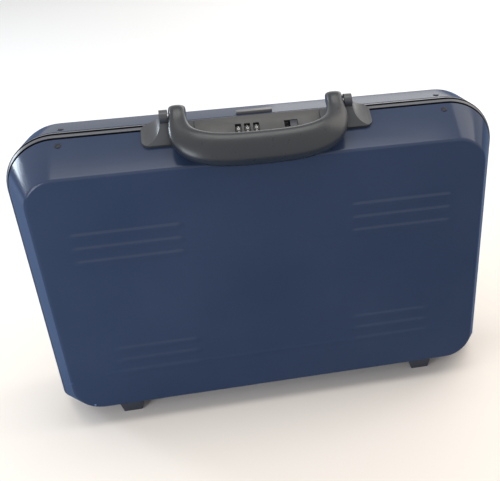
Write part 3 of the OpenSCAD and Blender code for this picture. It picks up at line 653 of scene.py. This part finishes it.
print("pressing the shells")
lockHole = {"low": (-0.0263, -0.0258), "high": (0.0423, 0.0), "deep": 0.016}
frontShell = pressShell(frontHalf)
bpy.ops.object.select_all(action="DESELECT")
bpy.ops.mesh.primitive_cube_add(size=1)
lockCutter = bpy.context.object
lockCutter.dimensions = (
    lockHole["high"][0] - lockHole["low"][0], lockHole["high"][1] - lockHole["low"][1], 2 * lockHole["deep"]
)
lockCutter.location = (
    (lockHole["high"][0] + lockHole["low"][0]) / 2, (lockHole["high"][1] + lockHole["low"][1]) / 2, 0
)
settle(lockCutter)
settle(lockCutter, wallTurn(frontHalf))
modify(frontShell, "BOOLEAN", object=lockCutter, operation="DIFFERENCE", solver="EXACT")
bpy.data.objects.remove(lockCutter)
settle(frontShell, frontPlace)
tightenCorners(frontShell, frontHalf, frontPlace)
finishPiece(frontShell, "frontShell", "front_half", shellPaint, ["front_shell"], 30)

rearShell = pressShell(rearHalf)
settle(rearShell, rearPlace)
tightenCorners(rearShell, rearHalf, rearPlace)
finishPiece(rearShell, "rearShell", "rear_half", shellPaint, ["rear_shell"], 30)


# the handle

handle = {
    "x": 0.069,
    "reach": 0.0444,
    "armWidth": 0.0154,
    "gripWidth": 0.029,
    "halfThick": 0.008,
    "eyeRadius": 0.0095,
    "drop": math.radians(25),
    "tilt": math.radians(-32),
    "bend": 3.2,
    "eyeRings": ((12, 0.82), (28, 0.95), (50, 1.0), (75, 1.0)),
    "eyeBlend": 0.012,
    "squareness": 0.75,
    "pointsRound": 20,
    "steps": 16,
}
pivotLow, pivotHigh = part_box("handle_pins")
pivot = (pivotLow + pivotHigh) / 2
handlePlace = Matrix.Translation((0, pivot.y, pivot.z)) @ Matrix.Rotation(handle["drop"], 4, "X")


def signedPower(base, power):
    return math.copysign(abs(base) ** power, base)


def handleSpot(angle):
    return Vector((
        handle["x"] * signedPower(math.cos(angle), 2 / handle["bend"]),
        handle["reach"] * abs(math.sin(angle)) ** (2 / handle["bend"]),
    ))


def handleSections():
    # the middle of each section, its outward direction, half width, half thickness and tilt
    sections = []
    for turn, narrow in handle["eyeRings"]:
        spot = Vector((handle["x"], -handle["eyeRadius"] * math.cos(math.radians(turn))))
        sections.append((
            spot, Vector((1, 0)), handle["armWidth"] / 2 * narrow,
            handle["eyeRadius"] * math.sin(math.radians(turn)), 0.0,
        ))
    for step in range(1, handle["steps"] + 1):
        angle = math.pi / 2 * (step / handle["steps"]) ** 2
        spot = handleSpot(angle)
        ahead = handleSpot(min(angle + 0.0003, math.pi)) - handleSpot(max(angle - 0.0003, 0))
        out = Vector((ahead.y, -ahead.x)).normalized()
        share = min(spot.y / handle["reach"], 1)
        share = share * share * (3 - 2 * share)
        halfWidth = (handle["armWidth"] + (handle["gripWidth"] - handle["armWidth"]) * share) / 2
        eye = max(0.0, 1 - spot.y / handle["eyeBlend"])
        halfThick = handle["halfThick"] + (handle["eyeRadius"] - handle["halfThick"]) * eye * eye
        if spot.y > 0.0005:
            sections.append((spot, out, halfWidth, halfThick, handle["tilt"] * share))
    return sections


def sectionMatrix(section):
    spot, out, halfWidth, halfThick, tilt = section
    outward = Vector((out.x, -out.y, 0))
    upward = Vector((0, 0, 1))
    wide = outward * math.cos(tilt) + upward * math.sin(tilt)
    thick = upward * math.cos(tilt) - outward * math.sin(tilt)
    along = wide.cross(thick)
    matrix = Matrix.Identity(4)
    for row in range(3):
        matrix[row][0] = wide[row] * halfWidth
        matrix[row][1] = thick[row] * halfThick
        matrix[row][2] = along[row]
        matrix[row][3] = (spot.x, -spot.y, 0)[row]
    return matrix


print("shaping the handle")
sections = handleSections()
bpy.ops.object.select_all(action="DESELECT")
bpy.ops.mesh.primitive_circle_add(vertices=handle["pointsRound"], radius=1, fill_type="NGON")
grip = bpy.context.object
editOn(grip)
for point in parts("VERT"):
    point.co = (
        signedPower(point.co.x, handle["squareness"]), signedPower(point.co.y, handle["squareness"]), 0
    )
bpy.ops.mesh.select_all(action="SELECT")
current = Matrix.Identity(4)
for section in sections:
    if section is not sections[0]:
        bpy.ops.mesh.extrude_region()
    following = sectionMatrix(section)
    shape = bmesh.from_edit_mesh(grip.data)
    moved = [vertex for vertex in shape.verts if vertex.select]
    bmesh.ops.transform(shape, matrix=following @ current.inverted(), verts=moved)
    bmesh.update_edit_mesh(grip.data)
    current = following
bpy.ops.mesh.delete(type="ONLY_FACE")
editOff()
modify(grip, "MIRROR", use_axis=(True, False, False), use_clip=True, merge_threshold=0.0002)
cleanUp(grip)
modify(grip, "SUBSURF", levels=2, render_levels=2)
settle(grip, handlePlace)
finishPiece(grip, "handleGrip", "handle", handlePlastic, ["handle"], 60)


# small pieces rounded from their CAD nodes: name, body, finish, slot, edge and its segments

hardware = {
    "front_frame": ("frontFrame", "front_half", framePaint, "frame_paint", 0.0005, 3),
    "rear_frame": ("rearFrame", "rear_half", framePaint, "frame_paint", 0.0005, 3),
    "handle_bracket_left": ("bracketLeft", "front_half", bracketPlastic, "grey_plastic", 0.0008, 3),
    "handle_bracket_right": ("bracketRight", "front_half", bracketPlastic, "grey_plastic", 0.0008, 3),
    "front_rivets": ("frontRivets", "front_half", rivetPaint, "rivet_metal", 0.0005, 4),
    "rear_rivets": ("rearRivets", "rear_half", rivetPaint, "rivet_metal", 0.0005, 4),
    "front_feet": ("frontFeet", "front_half", footRubber, "foot_rubber", 0.0010, 3),
    "rear_feet": ("rearFeet", "rear_half", footRubber, "foot_rubber", 0.0010, 3),
    "lock_plate": ("lockPlate", "front_half", platePlastic, "grey_plastic", 0.0004, 2),
    "hasp_tab": ("haspTab", "rear_half", tabPaintedLitPlastic, "grey_plastic", 0.0008, 3),
    "strap_buckle": ("strapBuckle", "front_half", wheelPlastic, "black_plastic", 0.0006, 3),
    "open_button": ("openButton", "catch", buttonPlastic, "button_plastic", 0.0003, 2),
    "frame_gasket": ("frameGasket", "front_half", sealRubber, "gasket_rubber", 0.0002, 2),
    "front_lining": ("frontLining", "front_half", liningCloth, "lining_cloth", 0.0005, 2),
    "rear_lining": ("rearLining", "rear_half", liningCloth, "lining_cloth", 0.0005, 2),
}
followsCorners = {
    "front_frame": (frontHalf, frontPlace),
    "rear_frame": (rearHalf, rearPlace),
    "frame_gasket": (frontHalf, frontPlace),
    "front_lining": (frontHalf, frontPlace),
    "rear_lining": (rearHalf, rearPlace),
}
print("rounding the hardware")
for node, (name, body, material, slot, edgeWidth, segments) in hardware.items():
    copied = fromNode(node, edgeWidth, segments)
    if node in followsCorners:
        tightenCorners(copied, *followsCorners[node])
    finishPiece(copied, name, body, material, [node], 40)

plainFinish = {
    "hinge_leaf_front": brushedSteel,
    "hinge_leaf_rear": brushedSteel,
    "hinge_pin": brushedSteel,
    "lock_housing": brushedSteel,
    "wheel_axle": brushedSteel,
    "wheel_detent": brushedSteel,
    "latch_bolt": brushedSteel,
    "code_lever": brushedSteel,
    "hasp_hook": brushedSteel,
    "handle_pins": brushedSteel,
    "stay_arm_lower_left": brushedSteel,
    "stay_arm_lower_right": brushedSteel,
    "stay_arm_upper_left": brushedSteel,
    "stay_arm_upper_right": brushedSteel,
    "stay_brackets_front": brushedSteel,
    "stay_brackets_rear": brushedSteel,
}
for node, material in plainFinish.items():
    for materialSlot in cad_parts[node].material_slots:
        materialSlot.material = material


# the number wheels

wheel = {
    "radius": 0.0066,
    "width": 0.0046,
    "faces": 10,
    "hub": 0.0077,
    "hubRadius": 0.0024,
    "bore": 0.00185,
    "rim": 0.0010,
    "stepIn": 0.0002,
    "stepDeep": 0.0003,
    "edge": 0.00025,
}
wheel["flat"] = wheel["radius"] * math.cos(math.pi / wheel["faces"])
digit = {"textSize": 0.0042, "raise": 0.00008}


def wheelDigit(number):
    # one printed figure on its face of the wheel
    bpy.ops.object.select_all(action="DESELECT")
    bpy.ops.object.text_add()
    figure = bpy.context.object
    figure.data.body = str(number)
    figure.data.align_x = "CENTER"
    figure.data.align_y = "CENTER"
    figure.data.size = digit["textSize"]
    figure.data.resolution_u = 3
    bpy.ops.object.convert(target="MESH")
    figure = bpy.context.object
    figure.data.materials.append(digitPaint)
    settle(figure, Matrix.Translation((0, 0, wheel["flat"])))
    modify(figure, "SOLIDIFY", thickness=digit["raise"], offset=1.0)
    settle(figure, Matrix.Rotation(-2 * math.pi * number / wheel["faces"], 4, "X"))
    return figure


def numberWheel(index):
    axleLow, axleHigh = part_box(f"number_wheel_{index}")
    middle = (axleLow + axleHigh) / 2
    bpy.ops.object.select_all(action="DESELECT")
    bpy.ops.mesh.primitive_cylinder_add(
        vertices=wheel["faces"], radius=wheel["radius"], depth=wheel["width"], end_fill_type="NGON"
    )
    drum = bpy.context.object
    # a corner of the drum lies along +X, so that turned on its side a face looks out
    settle(drum, Matrix.Rotation(math.radians(90), 4, "Y"))
    editOn(drum)
    pick("FACE", lambda face: abs(face.normal.x) > 0.9)
    bpy.ops.mesh.inset(thickness=wheel["rim"], depth=0)
    bpy.ops.mesh.inset(thickness=wheel["stepIn"], depth=-wheel["stepDeep"])
    editOff()
    modify(
        drum, "BEVEL", width=wheel["edge"], segments=2, limit_method="ANGLE", angle_limit=math.radians(25)
    )
    drum.data.materials.append(wheelPlastic)
    bpy.ops.mesh.primitive_cylinder_add(vertices=24, radius=wheel["hubRadius"], depth=wheel["hub"])
    hub = bpy.context.object
    settle(hub, Matrix.Rotation(math.radians(90), 4, "Y"))
    hub.data.materials.append(wheelPlastic)
    bpy.ops.mesh.primitive_cylinder_add(vertices=24, radius=wheel["bore"], depth=2 * wheel["hub"])
    bore = bpy.context.object
    settle(bore, Matrix.Rotation(math.radians(90), 4, "Y"))
    modify(drum, "BOOLEAN", object=hub, operation="UNION", solver="EXACT")
    modify(drum, "BOOLEAN", object=bore, operation="DIFFERENCE", solver="EXACT")
    bpy.data.objects.remove(hub)
    bpy.data.objects.remove(bore)
    whole = joinAll([drum] + [wheelDigit(number) for number in range(wheel["faces"])])
    settle(whole, Matrix.Translation(middle) @ Matrix.Rotation(frontHalf["lean"], 4, "X"))
    finishPiece(
        whole, f"numberWheel{index}", f"wheel_{index}", None, [f"number_wheel_{index}"], 30
    )


print("printing the number wheels")
for index in (1, 2, 3):
    numberWheel(index)


# padding, strap and pockets

def roundedSlab(width, height, corner, low, high):
    # a plate with round corners between two depths
    bpy.ops.object.select_all(action="DESELECT")
    bpy.ops.mesh.primitive_plane_add(size=1)
    slab = bpy.context.object
    slab.dimensions = (width, height, 0)
    slab.location = (0, 0, low)
    settle(slab)
    editOn(slab)
    bpy.ops.mesh.select_all(action="SELECT")
    bpy.ops.mesh.bevel(offset=corner, offset_type="OFFSET", segments=6, affect="VERTICES")
    bpy.ops.mesh.select_all(action="SELECT")
    bpy.ops.mesh.extrude_region_move(TRANSFORM_OT_translate={"value": (0, 0, high - low)})
    editOff()
    cleanUp(slab)
    return slab


cushion = {
    "width": 0.340,
    "height": 0.216,
    "corner": 0.022,
    "top": 0.0298,
    "back": 0.0408,
    "rim": 0.016,
    "wall": 0.008,
    "swellRoom": 0.002,
    "sink": 0.001,
    "cornerLeg": 0.044,
    "cornerEdge": 0.006,
    "cornerLap": 0.003,
    "cornerVoxel": 0.0012,
    "shrink": 0.004,
    "voxel": 0.005,
    "pressure": 4.0,
    "cap": 0.004,
    "channels": (-0.040, 0.040),
    "channelDepth": 0.003,
    "channelWidth": 0.004,
}


def inflate(pad, voxel, pressure, cap):
    # cloth over foam: the closed form swells a little, evenly seeded and capped
    pad.data.remesh_voxel_size = voxel
    takeUp(pad)
    bpy.ops.object.voxel_remesh()
    before = [vertex.co.copy() for vertex in pad.data.vertices]
    cloth = pad.modifiers.new("inflating", "CLOTH")
    cloth.settings.quality = 5
    cloth.settings.use_pressure = True
    cloth.settings.uniform_pressure_force = pressure
    cloth.settings.effector_weights.gravity = 0
    cloth.point_cache.frame_start = 1
    cloth.point_cache.frame_end = 20
    for number in range(1, 21):
        scene.frame_set(number)
    takeUp(pad)
    bpy.ops.object.modifier_apply(modifier=cloth.name)
    scene.frame_set(1)
    for vertex, start in zip(pad.data.vertices, before):
        move = vertex.co - start
        if move.length > cap:
            vertex.co = start + move * (cap / move.length)


print("padding the laptop bed")
bed = roundedSlab(
    cushion["width"] - 2 * cushion["shrink"], cushion["height"] - 2 * cushion["shrink"],
    cushion["corner"] - cushion["shrink"], cushion["top"] + cushion["swellRoom"],
    cushion["back"] - cushion["sink"],
)
inflate(bed, cushion["voxel"], cushion["pressure"], cushion["cap"])
for vertex in bed.data.vertices:
    spot = vertex.co
    # flat where it lies on the lining, level under the laptop, and drawn in at the sewn channels
    spot.z = min(max(spot.z, cushion["top"] + 0.0002), cushion["back"])
    if spot.z < (cushion["top"] + cushion["back"]) / 2:
        for channel in cushion["channels"]:
            away = (spot.y - channel) / cushion["channelWidth"]
            spot.z += cushion["channelDepth"] * math.exp(-away * away)
modify(bed, "SUBSURF", levels=1, render_levels=1)
settle(bed, frontPlace)
finishPiece(bed, "laptopBed", "front_half", padFabric, ["laptop_cushion"], 60)

cornerPads = []
legMiddle = cushion["cornerLeg"] / 2
for signX in (-1, 1):
    for signY in (-1, 1):
        legs = []
        for size, middle in (
            ((cushion["cornerLeg"], cushion["rim"]), (legMiddle, cushion["rim"] / 2)),
            ((cushion["rim"], cushion["cornerLeg"]), (cushion["rim"] / 2, legMiddle)),
        ):
            leg = roundedSlab(
                *size, cushion["cornerEdge"], cushion["top"] - cushion["wall"],
                cushion["top"] + cushion["cornerLap"],
            )
            settle(leg, Matrix.Translation((
                signX * (cushion["width"] / 2 - middle[0]), signY * (cushion["height"] / 2 - middle[1]), 0
            )))
            legs.append(leg)
        modify(legs[0], "BOOLEAN", object=legs[1], operation="UNION", solver="EXACT")
        bpy.data.objects.remove(legs[1])
        cornerPads.append(legs[0])
cornerPad = joinAll(cornerPads)
modify(cornerPad, "REMESH", mode="VOXEL", voxel_size=cushion["cornerVoxel"])
modify(cornerPad, "SMOOTH", factor=0.5, iterations=14)
settle(cornerPad, frontPlace)
finishPiece(cornerPad, "bedCorners", "front_half", padFabric, ["laptop_cushion"], 60)

strap = {
    "width": 0.025,
    "end": 0.1712,
    "level": 0.0287,
    "drop": 0.037,
    "sunk": 0.0004,
    "bend": 0.004,
    "thickness": 0.0013,
    "arcSteps": 5,
}


def strapLine():
    # down to the lining, round a bend at each end and across over the bed, as (x, depth)
    middle = Vector((strap["end"] - strap["bend"], strap["level"] + strap["bend"]))
    half = [
        Vector((strap["end"], cushion["back"] - strap["sunk"])),
        Vector((strap["end"], strap["drop"])),
    ]
    for step in range(strap["arcSteps"] + 1):
        angle = math.pi / 2 * step / strap["arcSteps"]
        half.append(middle + strap["bend"] * Vector((math.cos(angle), -math.sin(angle))))
    for share in (0.8, 0.6, 0.4, 0.2):
        half.append(Vector((strap["end"] * share, strap["level"])))
    return half + [Vector((0, strap["level"]))] + [Vector((-spot.x, spot.y)) for spot in reversed(half)]


print("weaving the strap")
line = strapLine()
bpy.ops.object.select_all(action="DESELECT")
bpy.ops.mesh.primitive_plane_add(size=1)
webbing = bpy.context.object
editOn(webbing)
for vertex in parts("VERT"):
    end = line[0] if vertex.co.x < 0 else line[1]
    vertex.co = (end.x, math.copysign(strap["width"] / 2, vertex.co.y), end.y)
pick("EDGE", lambda edge: all(abs(vertex.co.z - line[1].y) < 0.00001 for vertex in edge.verts))
for last, spot in zip(line[1:], line[2:]):
    bpy.ops.mesh.extrude_region_move(
        TRANSFORM_OT_translate={"value": (spot.x - last.x, 0, spot.y - last.y)}
    )
editOff()
cleanUp(webbing)
modify(webbing, "SOLIDIFY", thickness=strap["thickness"], offset=0.0)
modify(webbing, "BEVEL", width=0.0003, segments=2, limit_method="ANGLE", angle_limit=math.radians(50))
settle(webbing, frontPlace)
finishPiece(webbing, "laptopStrap", "front_half", strapWebbing, ["laptop_strap"], 40)

organiser = {
    "width": 0.350,
    "height": 0.216,
    "corner": 0.022,
    "face": 0.0428,
    "thickness": 0.002,
    "clothThick": 0.0008,
    "backGap": 0.0009,
    "frontGap": 0.0011,
    "hemLift": 0.0009,
    "hemLap": 0.0005,
    "step": 0.004,
    "hem": 0.007,
}
pockets = {
    "backPocket": {"middle": 0.0, "width": 0.334, "height": 0.144, "low": -0.100, "bulge": 0.0026},
    "leftPocket": {"middle": -0.0865, "width": 0.151, "height": 0.092, "low": -0.092, "bulge": 0.0030},
    "rightPocket": {"middle": 0.0865, "width": 0.151, "height": 0.092, "low": -0.092, "bulge": 0.0030},
}


def pocketDepth(name, x, y):
    # how far out a pocket's cloth stands: sewn down at the sides and the bottom, open at the top
    pocket = pockets[name]
    across = 2 * (x - pocket["middle"]) / pocket["width"]
    up = max(0.0, (y - pocket["low"]) / pocket["height"])
    full = (1 - min(1, abs(across)) ** 6) * (1 - (1 - min(1, up / 0.35)) ** 3)
    if name == "backPocket":
        under = organiser["face"] - organiser["backGap"]
    else:
        under = pocketDepth("backPocket", x, y) - organiser["frontGap"]
    return under - pocket["bulge"] * full


def pocketCloth(name, fromY, toY, lift):
    pocket = pockets[name]
    bpy.ops.object.select_all(action="DESELECT")
    bpy.ops.mesh.primitive_grid_add(
        size=1, x_subdivisions=round(pocket["width"] / organiser["step"]),
        y_subdivisions=max(2, round((toY - fromY) / organiser["step"])),
    )
    cloth = bpy.context.object
    cloth.dimensions = (pocket["width"], toY - fromY, 0)
    cloth.location = (pocket["middle"], (fromY + toY) / 2, 0)
    settle(cloth)
    for vertex in cloth.data.vertices:
        vertex.co.z = pocketDepth(name, vertex.co.x, vertex.co.y) - lift
    modify(cloth, "SOLIDIFY", thickness=organiser["clothThick"], offset=0.0)
    return cloth


print("sewing the organiser")
panel = roundedSlab(
    organiser["width"], organiser["height"], organiser["corner"], organiser["face"],
    organiser["face"] + organiser["thickness"],
)
modify(panel, "BEVEL", width=0.0007, segments=3, limit_method="ANGLE", angle_limit=math.radians(40))
settle(panel, rearPlace)
finishPiece(panel, "organiserPanel", "rear_half", padFabric, ["organiser_panel"], 40)
for name, pocket in pockets.items():
    top = pocket["low"] + pocket["height"]
    hem = pocketCloth(name, top - organiser["hem"], top + organiser["hemLap"], organiser["hemLift"])
    settle(hem, rearPlace)
    finishPiece(hem, name + "Hem", "rear_half", strapWebbing, ["organiser_pockets"], 40)
    cloth = pocketCloth(name, pocket["low"], top, 0.0)
    settle(cloth, rearPlace)
    finishPiece(cloth, name, "rear_half", pocketFabric, ["organiser_pockets"], 40)


# floor, light and camera

room = {
    "floorSize": 10,
    "table": ((0.885, 0.825, 0.760), (0.905, 0.845, 0.780)),
    "farTable": (0.93, 0.93, 0.93),
    "farFade": (0.15, 0.75),
    "reflectedTable": (0.13, 0.22, 0.42),
    "light": 0.55,
    "seenLight": 1.0,
}
print("setting the stage")
bpy.ops.object.select_all(action="DESELECT")
bpy.ops.mesh.primitive_plane_add(size=room["floorSize"])
floor = bpy.context.object
floor.name = "studioFloor"
floorMaterial, floorTree, floorSurface, floorPlace = newMaterial("studioFloor", {"Roughness": 0.6})
floorMottle = useGroup(floorTree, mottleTree, floorPlace, Slow_Scale=3.0, Fine_Scale=60.0)
floorSplit = addNode(floorTree, "ShaderNodeSeparateXYZ")
floorTree.links.new(floorPlace, floorSplit.inputs[0])
floorTone = mixColours(floorTree, floorMottle.outputs["Slow"], *room["table"])
floorFar = spread(floorTree, floorSplit.outputs["Y"], *room["farFade"])
floorTone = mixColours(floorTree, floorFar, floorTone, room["farTable"])
# in reflections the table is darker and bluer, as if the room were in shade
floorPath = addNode(floorTree, "ShaderNodeLightPath")
floorTree.links.new(
    mixColours(floorTree, floorPath.outputs["Is Glossy Ray"], floorTone, room["reflectedTable"]),
    floorSurface.inputs["Base Color"],
)
floor.data.materials.append(floorMaterial)

world = bpy.data.worlds.new("studio")
scene.world = world
world.use_nodes = True
worldTree = world.node_tree
backdrop = worldTree.nodes["Background"]
lightPath = addNode(worldTree, "ShaderNodeLightPath")
seen = lightPath.outputs["Is Camera Ray"]
for ray in ("Is Glossy Ray", "Is Transmission Ray"):
    seen = mathNode(worldTree, "MAXIMUM", seen, lightPath.outputs[ray])
worldTree.links.new(
    spread(worldTree, seen, 0.0, 1.0, room["light"], room["seenLight"]), backdrop.inputs["Strength"]
)
backdrop.inputs["Color"].default_value = (1, 1, 1, 1)

# a window and soft light at the left, a bright wall behind, and warmer light from above and the right
lamps = {
    "windowLamp": {
        "spot": (-1.5, 0.9, 0.5), "power": 10.5, "size": (0.36, 0.40), "colour": (0.78, 0.89, 1.0),
    },
    "leftLamp": {
        "spot": (-0.85, -0.65, 0.45), "power": 5.0, "size": (0.5, 0.5), "colour": (0.88, 0.93, 1.0),
    },
    "wallLamp": {
        "spot": (0.9, 1.6, 0.8), "power": 8.0, "size": (1.8, 1.0), "colour": (1.0, 0.96, 0.91),
    },
    "skyLamp": {
        "spot": (0.0, -0.15, 1.8), "power": 12.0, "size": (1.4, 0.9), "colour": (1.0, 0.98, 0.95),
    },
    "fillLamp": {
        "spot": (1.2, 0.1, 1.2), "power": 8.0, "size": (1.0, 1.0), "colour": (1.0, 0.92, 0.84),
    },
}
for name, made in lamps.items():
    lamp = bpy.data.objects.new(name, bpy.data.lights.new(name, "AREA"))
    lamp.data.shape = "RECTANGLE"
    lamp.data.energy = made["power"]
    lamp.data.size, lamp.data.size_y = made["size"]
    lamp.data.color = made["colour"]
    lamp.location = made["spot"]
    aim = Vector((0, 0, 0.15)) - Vector(made["spot"])
    lamp.rotation_euler = aim.to_track_quat("-Z", "Y").to_euler()
    lamp.visible_camera = False
    scene.collection.objects.link(lamp)

view = {
    "place": Vector((-0.04194, seamY - 0.6401, 0.57843)),
    "pan": math.radians(10.61),
    "tilt": math.radians(31.44),
    "roll": math.radians(-1.12),
    "lens": 54.84,
    "shiftX": -0.188,
    "shiftY": -0.032,
}
ahead = Vector((
    math.sin(view["pan"]) * math.cos(view["tilt"]), math.cos(view["pan"]) * math.cos(view["tilt"]),
    -math.sin(view["tilt"]),
))
right = Vector((math.cos(view["pan"]), -math.sin(view["pan"]), 0))
above = right.cross(ahead)
rolledRight = right * math.cos(view["roll"]) + above * math.sin(view["roll"])
rolledUp = above * math.cos(view["roll"]) - right * math.sin(view["roll"])
camera = bpy.data.objects.new("photoCamera", bpy.data.cameras.new("photoCamera"))
scene.collection.objects.link(camera)
turn = Matrix((rolledRight, rolledUp, -ahead)).transposed().to_4x4()
camera.matrix_world = Matrix.Translation(view["place"]) @ turn
camera.data.lens = view["lens"]
camera.data.shift_x = view["shiftX"]
camera.data.shift_y = view["shiftY"]
scene.camera = camera
scene.view_settings.view_transform = "Standard"
